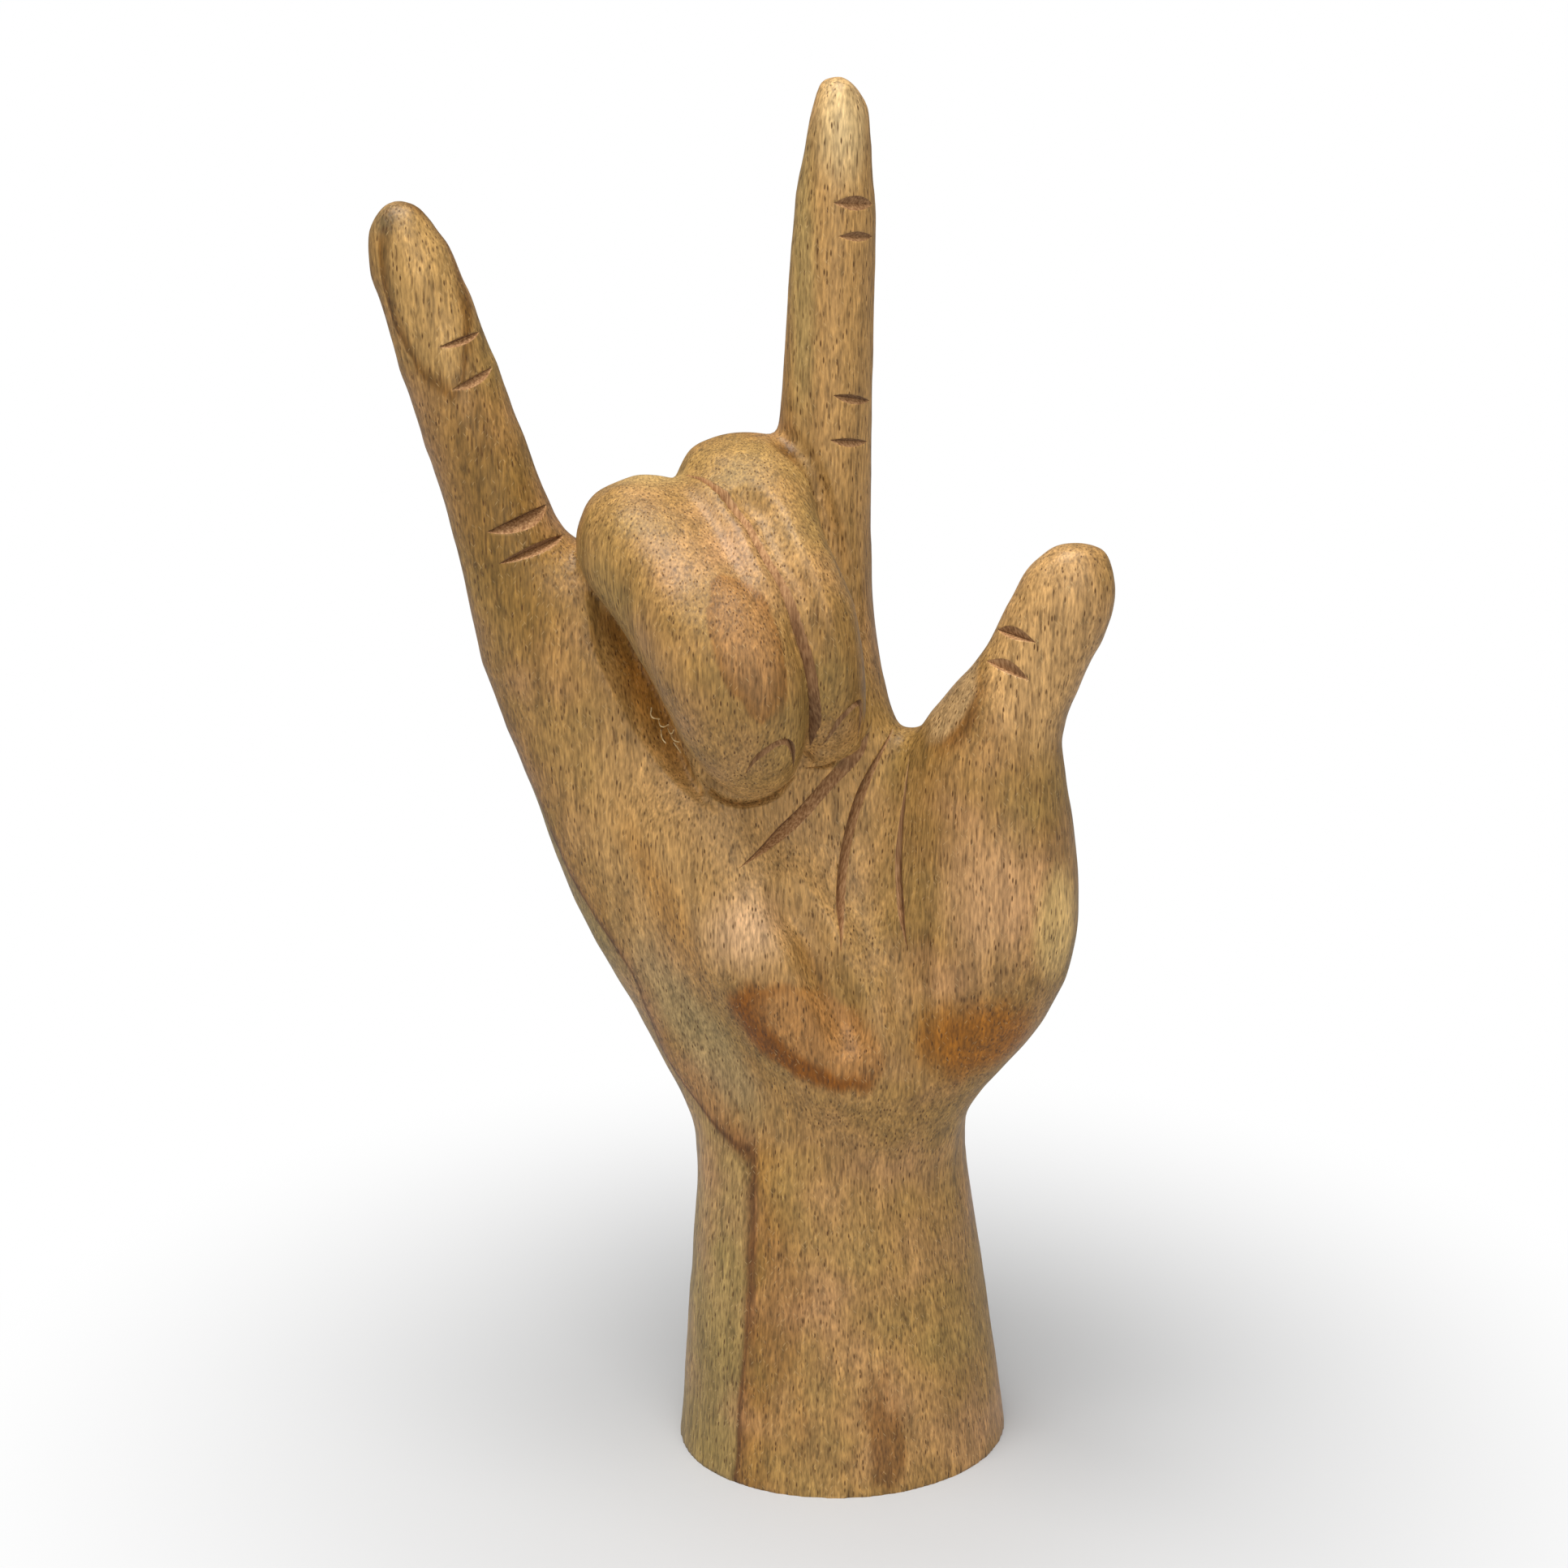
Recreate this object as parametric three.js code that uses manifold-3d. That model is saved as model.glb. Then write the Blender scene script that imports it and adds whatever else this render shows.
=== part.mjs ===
// A life-size hand carved in pale wood, standing on its cut wrist with the palm to the front.
// Thumb, index finger and little finger are held out; the middle and ring fingers are folded on the palm.
// Millimetres, +Z up, +X to the thumb side, -Y to the palm side. The origin is the middle of the flat base.
import * as THREE from "three";
import { mergeVertices } from "three/addons/utils/BufferGeometryUtils.js";
import Module from "manifold-3d";

// Wrist stub that the hand stands on
const BASE_WIDTH = 76;
const BASE_DEPTH = 66;
const BASE_TURN = 13;
const WRIST_HEIGHT = 70;
const WRIST_WIDTH = 61;
const WRIST_DEPTH = 42;
const WRIST_OFFSET = -2.7;
const WRIST_RUN_ON = 14;

// Palm slab, from the wrist to the row of knuckles
const PALM_HEEL_WIDTH = 50;
const PALM_WIDTH = 74;
const PALM_THICKNESS = 33;
const PALM_BACK = 3;
const KNUCKLE_DOME = 10;

// Heel pad, under the little finger
const HEEL_RISE = 28;
const HEEL_LENGTH = 58;
const HEEL_LEAN = 30;
const HEEL_WIDTH = 36;
const HEEL_THICKNESS = 34;
const HEEL_FORWARD = 12;
const HEEL_DOME = 12;

// Little finger: leans and lengths are measured from the wrist to the knuckle, then from knuckle to tip
const LITTLE_RAY_LENGTH = 128;
const LITTLE_RAY_LEAN = 28.4;
const LITTLE_RAY_WIDTH = 40;
const LITTLE_LENGTH = 102;
const LITTLE_LEAN = 17;
const LITTLE_TILT = 4;
const LITTLE_ROOT_WIDTH = 29.5;
const LITTLE_WIDTH = 22.5;
const LITTLE_TIP_WIDTH = 19;
const LITTLE_THICKNESS = 20;

// Index finger
const INDEX_RAY_LENGTH = 116;
const INDEX_RAY_LEAN = 2;
const INDEX_RAY_WIDTH = 29;
const INDEX_LENGTH = 119.5;
const INDEX_LEAN = -2.2;
const INDEX_TILT = 2;
const INDEX_ROOT_WIDTH = 26;
const INDEX_WIDTH = 19.8;
const INDEX_TIP_WIDTH = 13.4;
const INDEX_THICKNESS = 18;
const INDEX_TURN = -33;
const INDEX_SQUARENESS = 2.7;

// Extra thickness of a straight finger at its knuckle and along its first bone
const KNUCKLE_SWELL = 6;
const SHAFT_SWELL = 2;

// Thumb, with its ball on the palm
const BALL_REACH = 61;
const BALL_LEAN = -31;
const BALL_WIDTH = 41;
const BALL_THICKNESS = 38;
const BALL_FORWARD = 10;
const THUMB_RAY_LENGTH = 48;
const THUMB_RAY_LEAN = -3;
const THUMB_LENGTH = 47;
const THUMB_LEAN = -23;
const THUMB_TILT = 7;
const THUMB_ROOT_WIDTH = 29;
const THUMB_WIDTH = 22.5;
const THUMB_TIP_WIDTH = 22;
const THUMB_THICKNESS = 21;

// Folded fingers: slants lean each bone to the little-finger side, for the bone that rises, falls and ends
const RING_RAY_LENGTH = 114;
const RING_RAY_LEAN = 10.5;
const RING_SLANT = 29;
const RING_FALL_SLANT = 35;
const RING_END_SLANT = 16;
const RING_BACK = 5;
const RING_BEND = 28;
const RING_WIDTH = 37;
const RING_THICKNESS = 28;
const RING_TURN = -18;
const MIDDLE_RAY_LENGTH = 116;
const MIDDLE_RAY_LEAN = 4;
const MIDDLE_SLANT = 18;
const MIDDLE_FALL_SLANT = 24;
const MIDDLE_END_SLANT = 17;
const MIDDLE_BACK = 7.5;
const MIDDLE_BEND = 17;
const MIDDLE_WIDTH = 31.5;
const MIDDLE_THICKNESS = 27;
const FIRST_BONE_LENGTH = 36.5;
const SECOND_BONE_LENGTH = 31;
const END_BONE_LENGTH = 25.5;
const SECOND_BEND = 141;
const END_BEND = 193;
const FOLD_TIP_WIDTH = 18;

// Web between the little finger and the ring finger
const WEB_RISE = 6;
const WEB_HEIGHT = 34;
const WEB_THICKNESS = 24;
const WEB_BACK = 1;

// Saw cuts across the finger roots, measured up from the knuckle
const LITTLE_CUT = 26;
const INDEX_CUT = 20;
const THUMB_CUT = 6;

// Joins between the limbs, saw gap and mesh
const ROOT_DOME = 12;
const FILLET = 10;
const WEB_FILLET = 18;
const WRIST_FILLET = 6;
const SEAM = 0.3;
const CELL = 4.8;

const wasm = await Module();
wasm.setup();

const radians = THREE.MathUtils.degToRad;
const point = (x, y, z) => new THREE.Vector3(x, y, z);
const along = (from, direction, distance) => from.clone().addScaledVector(direction, distance);

// Direction that leans to the little-finger side and tilts to the palm side, both measured from upright.
function heading(lean, tilt = 0) {
  const side = radians(lean);
  const forward = radians(tilt);
  return point(-Math.sin(side) * Math.cos(forward), -Math.sin(forward), Math.cos(side) * Math.cos(forward));
}

// A limb is a loft of oval sections along a smooth spine, with a dome at each end.
// A station gives a section's place, width, depth and, where it is turned about the spine, its turn.
function limb(stations, options = {}) {
  const { dome = ROOT_DOME, startDome = ROOT_DOME, squareness = 2, across = point(1, 0, 0) } = options;
  const STEPS = 8;
  const spine = new THREE.CatmullRomCurve3(stations.map((s) => s.at));
  const sizes = new THREE.CatmullRomCurve3(
    stations.map((s) => point(s.width / 2, s.depth / 2, s.turn ?? 0)),
    false,
    "catmullrom",
    0.5,
  );
  const count = (stations.length - 1) * STEPS;
  const rings = [];
  const box = new THREE.Box3();
  for (let i = 0; i <= count; i += 1) {
    const at = spine.getPoint(i / count);
    const ahead = spine.getTangent(i / count);
    const size = sizes.getPoint(i / count);
    const side = along(across, ahead, -across.dot(ahead)).normalize();
    side.applyAxisAngle(ahead, radians(size.z));
    rings.push({ at, ahead, side, face: side.clone().cross(ahead), size });
    const reach = 2 * Math.max(size.x, size.y, dome, startDome);
    box.union(new THREE.Box3().setFromCenterAndSize(at, point(reach, reach, reach)));
  }
  const q = point(0, 0, 0);
  const step = point(0, 0, 0);
  const distance = (p) => {
    let least = Infinity;
    let place = 0;
    for (let i = 0; i < count; i += 1) {
      step.subVectors(rings[i + 1].at, rings[i].at);
      q.subVectors(p, rings[i].at);
      const share = THREE.MathUtils.clamp(q.dot(step) / step.lengthSq(), 0, 1);
      const gap = q.addScaledVector(step, -share).lengthSq();
      if (gap < least) {
        least = gap;
        place = i + share;
      }
    }
    const i = Math.min(Math.floor(place), count - 1);
    const share = place - i;
    const [a, b] = [rings[i], rings[i + 1]];
    const mix = (one, other) => one + (other - one) * share;
    q.subVectors(p, step.lerpVectors(a.at, b.at, share));
    const halfWidth = mix(a.size.x, b.size.x);
    const halfDepth = mix(a.size.y, b.size.y);
    const u = Math.abs(mix(q.dot(a.side), q.dot(b.side))) / halfWidth;
    const v = Math.abs(mix(q.dot(a.face), q.dot(b.face))) / halfDepth;
    const cap = i === 0 ? startDome : dome;
    const e = Math.abs(mix(q.dot(a.ahead), q.dot(b.ahead))) / cap;
    const oval = Math.pow(Math.pow(u, squareness) + Math.pow(v, squareness), 1 / squareness);
    const rho = Math.hypot(oval, e);
    if (rho < 1e-6) return -Math.min(halfWidth, halfDepth);
    const stretch = Math.pow(Math.max(oval, 1e-9), 2 - squareness) / rho;
    const slope = Math.hypot(
      (stretch * Math.pow(u, squareness - 1)) / halfWidth,
      (stretch * Math.pow(v, squareness - 1)) / halfDepth,
      e / (rho * cap),
    );
    return (rho - 1) / Math.max(slope, 1e-6);
  };
  return { distance, box };
}

// Joins two forms with a rounded valley of the given size.
function blend(one, other, fillet) {
  const distance = (p) => {
    const a = one.distance(p);
    const b = other.distance(p);
    const overlap = Math.max(fillet - Math.abs(a - b), 0) / fillet;
    return Math.min(a, b) - (overlap * overlap * fillet) / 4;
  };
  return { distance, box: one.box.clone().union(other.box) };
}

// Whether the corners of a cube, or of one of its faces, fall into one inside and one outside group.
// Corners are numbered by three bits, one for each axis.
function oneSheet(numbers, inside) {
  return [true, false].every((state) => {
    const members = numbers.filter((n) => inside[n] === state);
    const reached = new Set(members.slice(0, 1));
    for (const n of reached) {
      for (const next of [n ^ 1, n ^ 2, n ^ 4]) if (members.includes(next)) reached.add(next);
    }
    return reached.size === members.length;
  });
}

const CUBE = [0, 1, 2, 3, 4, 5, 6, 7];
const CUBE_FACES = [1, 2, 4].flatMap((bit) => [CUBE.filter((n) => n & bit), CUBE.filter((n) => !(n & bit))]);

// The closed skin of a form as a net of quads on a cubic grid, with each corner drawn onto the true surface.
function skin(form, grow = 0) {
  const box = form.box.clone().expandByScalar(2 * CELL);
  const low = box.min;
  const [nx, ny, nz] = box
    .getSize(point(0, 0, 0))
    .toArray()
    .map((length) => Math.ceil(length / CELL) + 1);
  const index = (i, j, k) => (k * ny + j) * nx + i;
  const values = new Float32Array(nx * ny * nz);
  const each = (from, visit) => {
    for (let k = from; k < nz - 1; k += 1) {
      for (let j = from; j < ny - 1; j += 1) {
        for (let i = from; i < nx - 1; i += 1) visit(i, j, k);
      }
    }
  };
  values.fill(CELL);
  each(0, (i, j, k) => {
    values[index(i, j, k)] = form.distance(point(i, j, k).multiplyScalar(CELL).add(low));
  });
  // A crevice narrower than the grid is filled, so that each cell holds one sheet of the surface:
  // the outer grid point nearest to the surface is taken inside, until nothing is left to fill.
  const fillCrevices = () => {
    let filled = 0;
    each(0, (i, j, k) => {
      const cell = CUBE.map((n) => index(i + (n & 1), j + ((n >> 1) & 1), k + (n >> 2)));
      const inside = cell.map((n) => values[n] < 0);
      if (inside.every((state) => state === inside[0])) return;
      const split = [CUBE, ...CUBE_FACES].find((group) => !oneSheet(group, inside));
      if (!split) return;
      const [nearest] = split.filter((n) => !inside[n]).sort((a, b) => values[cell[a]] - values[cell[b]]);
      values[cell[nearest]] = -0.02 * CELL;
      filled += 1;
    });
    return filled;
  };
  while (fillCrevices() > 0);
  const gradient = (at) => {
    const STEP = 0.05;
    const slope = (x, y, z) => {
      const offset = point(x, y, z).multiplyScalar(STEP);
      return (form.distance(at.clone().add(offset)) - form.distance(at.clone().sub(offset))) / (2 * STEP);
    };
    return point(slope(1, 0, 0), slope(0, 1, 0), slope(0, 0, 1));
  };
  const corners = [];
  const cornerOf = new Map();
  each(0, (i, j, k) => {
    const mean = point(0, 0, 0);
    let crossings = 0;
    for (let axis = 0; axis < 3; axis += 1) {
      for (let edge = 0; edge < 4; edge += 1) {
        const start = [i, j, k];
        start[(axis + 1) % 3] += edge & 1;
        start[(axis + 2) % 3] += edge >> 1;
        const end = [...start];
        end[axis] += 1;
        const a = values[index(...start)];
        const b = values[index(...end)];
        if (a < 0 === b < 0) continue;
        start[axis] += a / (a - b);
        mean.add(point(...start));
        crossings += 1;
      }
    }
    if (!crossings) return;
    const at = mean.multiplyScalar(CELL / crossings).add(low);
    const own = point(i, j, k).addScalar(0.5).multiplyScalar(CELL).add(low);
    const cell = new THREE.Box3().setFromCenterAndSize(own, point(1, 1, 1).multiplyScalar(0.96 * CELL));
    for (let round = 0; round < 3; round += 1) {
      const slope = gradient(at);
      const move = form.distance(at) / Math.max(slope.lengthSq(), 0.25);
      at.addScaledVector(slope, -THREE.MathUtils.clamp(move, -CELL / 2, CELL / 2));
      cell.clampPoint(at, at);
    }
    cornerOf.set(index(i, j, k), corners.length);
    corners.push(at);
  });
  const faces = [];
  const addQuad = (quad, outward) => {
    const [a, b, c, d] = outward ? quad : quad.reverse();
    const acrossAC = corners[a].distanceToSquared(corners[c]);
    const acrossBD = corners[b].distanceToSquared(corners[d]);
    faces.push(...(acrossAC < acrossBD ? [a, b, c, a, c, d] : [a, b, d, b, c, d]));
  };
  each(1, (i, j, k) => {
    const inside = values[index(i, j, k)] < 0;
    const corner = (x, y, z) => cornerOf.get(index(i - x, j - y, k - z));
    if (inside !== values[index(i + 1, j, k)] < 0) {
      addQuad([corner(0, 1, 1), corner(0, 0, 1), corner(0, 0, 0), corner(0, 1, 0)], inside);
    }
    if (inside !== values[index(i, j + 1, k)] < 0) {
      addQuad([corner(1, 0, 1), corner(1, 0, 0), corner(0, 0, 0), corner(0, 0, 1)], inside);
    }
    if (inside !== values[index(i, j, k + 1)] < 0) {
      addQuad([corner(1, 1, 0), corner(0, 1, 0), corner(0, 0, 0), corner(1, 0, 0)], inside);
    }
  });
  const geometry = new THREE.BufferGeometry();
  geometry.setAttribute("position", new THREE.Float32BufferAttribute(corners.flatMap((c) => c.toArray()), 3));
  geometry.setIndex(faces);
  geometry.computeVertexNormals();
  const { position, normal } = geometry.attributes;
  corners.forEach((corner, n) => {
    corner.addScaledVector(point(0, 0, 0).fromBufferAttribute(normal, n), grow);
    position.setXYZ(n, ...corner.toArray());
  });
  return geometry;
}

// A closed geometry as a solid that can be joined and cut.
function solid(geometry) {
  const bare = new THREE.BufferGeometry();
  bare.setAttribute("position", geometry.getAttribute("position"));
  bare.setIndex(geometry.index);
  const merged = mergeVertices(bare);
  return new wasm.Manifold(
    new wasm.Mesh({
      numProp: 3,
      vertProperties: new Float32Array(merged.attributes.position.array),
      triVerts: new Uint32Array(merged.index.array),
    }),
  );
}

const wrist = point(WRIST_OFFSET, 0, WRIST_HEIGHT);
const palmBack = point(0, PALM_BACK, 0);
const littleKnuckle = along(wrist, heading(LITTLE_RAY_LEAN), LITTLE_RAY_LENGTH).add(palmBack);
const indexKnuckle = along(wrist, heading(INDEX_RAY_LEAN), INDEX_RAY_LENGTH).add(palmBack);
const ringKnuckle = along(wrist, heading(RING_RAY_LEAN), RING_RAY_LENGTH).setY(RING_BACK);
const middleKnuckle = along(wrist, heading(MIDDLE_RAY_LEAN), MIDDLE_RAY_LENGTH).setY(MIDDLE_BACK);
const ball = along(wrist, heading(BALL_LEAN), BALL_REACH).add(point(0, -BALL_FORWARD, 0));
const thumbKnuckle = along(ball, heading(THUMB_RAY_LEAN, THUMB_TILT), THUMB_RAY_LENGTH);
const littleWay = heading(LITTLE_LEAN, LITTLE_TILT);
const indexWay = heading(INDEX_LEAN, INDEX_TILT);
const thumbWay = heading(THUMB_LEAN, THUMB_TILT);

// Wrist stub: an oval column that narrows to the wrist and runs on a little past both of its cuts.
function wristForm() {
  const flare = (BASE_WIDTH - WRIST_WIDTH) / WRIST_HEIGHT;
  const spread = flare * WRIST_RUN_ON;
  const foot = point(0, 0, 0);
  const inPalm = along(wrist, heading(0), 2 * WRIST_RUN_ON).add(palmBack);
  const stations = [
    { at: along(foot, heading(180), WRIST_RUN_ON), width: BASE_WIDTH + spread, depth: BASE_DEPTH + spread },
    { at: foot, width: BASE_WIDTH, depth: BASE_DEPTH },
    { at: wrist, width: WRIST_WIDTH, depth: WRIST_DEPTH },
    { at: inPalm, width: PALM_HEEL_WIDTH, depth: PALM_THICKNESS },
  ];
  return limb(stations.map((station) => ({ ...station, turn: BASE_TURN })));
}

// Palm slab: from the wrist to the row of knuckles.
function palmForm() {
  const low = wrist.clone().add(palmBack);
  const high = littleKnuckle.clone().lerp(indexKnuckle, 0.5);
  const rowWidth = littleKnuckle.distanceTo(indexKnuckle);
  const stations = [
    { at: low, width: PALM_HEEL_WIDTH, depth: PALM_THICKNESS },
    { at: low.clone().lerp(high, 0.35), width: (PALM_HEEL_WIDTH + PALM_WIDTH) / 2, depth: PALM_THICKNESS },
    { at: low.clone().lerp(high, 0.65), width: PALM_WIDTH, depth: PALM_THICKNESS },
    { at: high, width: rowWidth, depth: PALM_THICKNESS },
  ];
  return limb(stations, { squareness: 2.6, dome: KNUCKLE_DOME });
}

// Heel pad: from the wrist crease up the little-finger side.
function heelForm() {
  const low = along(wrist, heading(0), HEEL_RISE).add(point(0, -HEEL_FORWARD, 0));
  const high = along(low, heading(HEEL_LEAN), HEEL_LENGTH);
  const stations = [
    { at: low, width: HEEL_WIDTH * 0.8, depth: HEEL_THICKNESS * 0.85 },
    { at: low.clone().lerp(high, 0.5), width: HEEL_WIDTH, depth: HEEL_THICKNESS },
    { at: high, width: HEEL_WIDTH * 0.8, depth: HEEL_THICKNESS * 0.65 },
  ];
  return limb(stations, { startDome: HEEL_DOME, dome: HEEL_DOME });
}

// A straight finger with its ray in the palm. Widths follow from wrist to knuckle to tip.
function straightFinger(knuckle, direction, length, thickness, widths, { turn = 0, squareness = 2 } = {}) {
  const [ray, root, shaft, tip] = widths;
  const low = wrist.clone().add(palmBack);
  const end = (fromTip) => along(knuckle, direction, length - fromTip);
  const stations = [
    { at: low.clone().lerp(knuckle, 0.1), width: ray, depth: PALM_THICKNESS },
    { at: low.clone().lerp(knuckle, 0.6), width: ray, depth: PALM_THICKNESS },
    { at: knuckle, width: root, depth: thickness + KNUCKLE_SWELL },
    { at: along(knuckle, direction, length * 0.3), width: shaft, depth: thickness + SHAFT_SWELL, turn },
    { at: end(2.4 * tip), width: (shaft + tip) / 2, depth: thickness, turn },
    { at: end(tip), width: tip, depth: thickness * 0.8, turn },
  ];
  return limb(stations, { dome: tip, squareness });
}

function littleForm() {
  const widths = [LITTLE_RAY_WIDTH, LITTLE_ROOT_WIDTH, LITTLE_WIDTH, LITTLE_TIP_WIDTH];
  return straightFinger(littleKnuckle, littleWay, LITTLE_LENGTH, LITTLE_THICKNESS, widths);
}

// The index finger is left nearly square, turned so that one edge runs down its front.
function indexForm() {
  const widths = [INDEX_RAY_WIDTH, INDEX_ROOT_WIDTH, INDEX_WIDTH, INDEX_TIP_WIDTH];
  const section = { turn: INDEX_TURN, squareness: INDEX_SQUARENESS };
  return straightFinger(indexKnuckle, indexWay, INDEX_LENGTH, INDEX_THICKNESS, widths, section);
}

// Thumb: its ball swells the palm, and its two bones run out past the thumb's knuckle.
function thumbForm() {
  const end = (fromTip) => along(thumbKnuckle, thumbWay, THUMB_LENGTH - fromTip);
  const stations = [
    { at: wrist.clone().lerp(ball, 0.35), width: BALL_WIDTH * 0.85, depth: BALL_THICKNESS * 0.85 },
    { at: ball, width: BALL_WIDTH, depth: BALL_THICKNESS },
    { at: thumbKnuckle, width: THUMB_ROOT_WIDTH, depth: THUMB_THICKNESS + KNUCKLE_SWELL },
    { at: end(1.5 * THUMB_TIP_WIDTH), width: THUMB_WIDTH, depth: THUMB_THICKNESS },
    { at: end(0.7 * THUMB_TIP_WIDTH), width: THUMB_TIP_WIDTH, depth: THUMB_THICKNESS * 0.85 },
  ];
  return limb(stations, { dome: 0.7 * THUMB_TIP_WIDTH });
}

// The bones of a folded finger: up from its knuckle, over at the first joint, and down in front to the tip.
function fold(knuckle, firstBend, [slant, fallSlant, endSlant]) {
  const bend = (angle, lean) => {
    const forward = radians(angle);
    return heading(lean).multiplyScalar(Math.cos(forward)).add(point(0, -Math.sin(forward), 0));
  };
  const root = along(knuckle, heading(slant), -0.4 * FIRST_BONE_LENGTH);
  const firstJoint = along(knuckle, bend(firstBend, slant), FIRST_BONE_LENGTH);
  const endJoint = along(firstJoint, bend(SECOND_BEND, fallSlant), SECOND_BONE_LENGTH);
  const tip = along(endJoint, bend(END_BEND, endSlant), END_BONE_LENGTH);
  const rise = along(knuckle, bend(firstBend / 2, slant), 0.55 * FIRST_BONE_LENGTH);
  const fall = along(firstJoint, bend(SECOND_BEND - 10, fallSlant), 0.5 * SECOND_BONE_LENGTH);
  const pad = along(endJoint, bend(END_BEND - 8, endSlant), 0.6 * END_BONE_LENGTH);
  return { root, knuckle, rise, firstJoint, fall, endJoint, pad, tip };
}

// A folded finger is widest at its first joint; each other station has a share of its width and thickness.
function foldedForm(bones, width, thickness, turn = 0) {
  const stations = [
    { at: bones.root, width: width * 0.7, depth: thickness * 0.7 },
    { at: bones.knuckle, width: width * 0.88, depth: thickness * 0.95 },
    { at: bones.rise, width: width * 0.95, depth: thickness },
    { at: bones.firstJoint, width, depth: thickness, turn },
    { at: bones.fall, width: width * 0.8, depth: thickness, turn },
    { at: bones.endJoint, width: width * 0.84, depth: thickness * 0.95 },
    { at: bones.pad, width: width * 0.72, depth: thickness * 0.8 },
    { at: bones.tip, width: FOLD_TIP_WIDTH, depth: FOLD_TIP_WIDTH },
  ];
  const dome = 0.3 * FOLD_TIP_WIDTH;
  return limb(stations, { startDome: dome, dome, squareness: 2.4 });
}

const ringBones = fold(ringKnuckle, RING_BEND, [RING_SLANT, RING_FALL_SLANT, RING_END_SLANT]);
const middleBones = fold(middleKnuckle, MIDDLE_BEND, [MIDDLE_SLANT, MIDDLE_FALL_SLANT, MIDDLE_END_SLANT]);

// Bed: the wood left standing on the palm inside the fold, which both folded fingers lie on.
function bedForm() {
  const inside = (bones) => bones.knuckle.clone().lerp(bones.tip, 0.5);
  const height = 0.5 * (FIRST_BONE_LENGTH + END_BONE_LENGTH);
  const stations = [
    { at: inside(ringBones), width: height, depth: RING_THICKNESS },
    { at: inside(middleBones), width: height, depth: MIDDLE_THICKNESS },
  ];
  return limb(stations, { startDome: 0.3 * RING_WIDTH, dome: 0.3 * MIDDLE_WIDTH, across: heading(0) });
}

// Web: the wood left between the roots of the little finger and the ring finger.
function webForm() {
  const littleSide = along(littleKnuckle, littleWay, WEB_RISE).setY(WEB_BACK);
  const ringSide = ringBones.knuckle.clone().setY(WEB_BACK).setZ(littleSide.z);
  const stations = [
    { at: littleSide.clone().lerp(ringSide, 0.25), width: WEB_HEIGHT, depth: WEB_THICKNESS },
    { at: ringSide, width: WEB_HEIGHT, depth: WEB_THICKNESS },
  ];
  return limb(stations, { squareness: 3, across: heading(0) });
}

let openHand = blend(palmForm(), heelForm(), FILLET);
openHand = blend(openHand, bedForm(), FILLET);
openHand = blend(openHand, littleForm(), FILLET);
openHand = blend(openHand, webForm(), FILLET);
openHand = blend(openHand, indexForm(), FILLET);
openHand = blend(openHand, thumbForm(), WEB_FILLET);
openHand = blend(openHand, wristForm(), WRIST_FILLET);
const ringForm = foldedForm(ringBones, RING_WIDTH, RING_THICKNESS, RING_TURN);
const middleForm = foldedForm(middleBones, MIDDLE_WIDTH, MIDDLE_THICKNESS);

// A block that starts at a saw cut and covers what lies beyond it in one direction.
function block(cut, direction, length, width) {
  const side = along(point(1, 0, 0), direction, -direction.x).normalize();
  const turn = new THREE.Matrix4().makeBasis(side, direction.clone().cross(side), direction);
  const box = new THREE.BoxGeometry(width, 2 * BASE_DEPTH, length).translate(0, 0, length / 2);
  return solid(box.applyMatrix4(turn.setPosition(cut)));
}

// Saws a blank in two at a cut and leaves the width of the saw between them.
function saw(blank, cut, direction, length, width) {
  const piece = blank.intersect(block(cut, direction, length, width));
  const rest = blank.subtract(block(along(cut, direction, -SEAM), direction, length + SEAM, width));
  return [piece, rest];
}

function mesh(name, made, color) {
  const data = made.getMesh();
  const geometry = new THREE.BufferGeometry();
  geometry.setAttribute("position", new THREE.BufferAttribute(data.vertProperties.slice(), 3));
  geometry.setIndex(new THREE.BufferAttribute(data.triVerts.slice(), 1));
  geometry.computeVertexNormals();
  const wood = new THREE.MeshStandardMaterial({ color, roughness: 0.5, metalness: 0 });
  const result = new THREE.Mesh(geometry, wood);
  result.name = name;
  return result;
}

// The room that a folded finger takes from its neighbours: its own solid, grown by the saw gap.
function seat(form) {
  return solid(skin(form)).add(solid(skin(form, SEAM)));
}

const ringSeat = seat(ringForm);
const middleSeat = seat(middleForm);
const ring = solid(skin(ringForm));
const middle = solid(skin(middleForm)).subtract(ringSeat);
const floor = block(point(0, 0, 0), heading(180), 2 * WRIST_RUN_ON + ROOT_DOME, 2 * BASE_WIDTH);
const carved = solid(skin(openHand)).subtract(floor).subtract(ringSeat).subtract(middleSeat);

const littleCut = along(littleKnuckle, littleWay, LITTLE_CUT);
const indexCut = along(indexKnuckle, indexWay, INDEX_CUT);
const thumbCut = along(thumbKnuckle, thumbWay, THUMB_CUT);
const [little, withoutLittle] = saw(carved, littleCut, littleWay, LITTLE_LENGTH, 1.5 * LITTLE_ROOT_WIDTH);
const [index, withoutIndex] = saw(withoutLittle, indexCut, indexWay, INDEX_LENGTH, 1.5 * INDEX_ROOT_WIDTH);
const [thumb, palmAndWrist] = saw(withoutIndex, thumbCut, thumbWay, THUMB_LENGTH, 1.4 * THUMB_ROOT_WIDTH);
const [wristBase, palm] = saw(palmAndWrist, wrist, heading(180), WRIST_HEIGHT + WRIST_RUN_ON, 2 * BASE_WIDTH);

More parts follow.
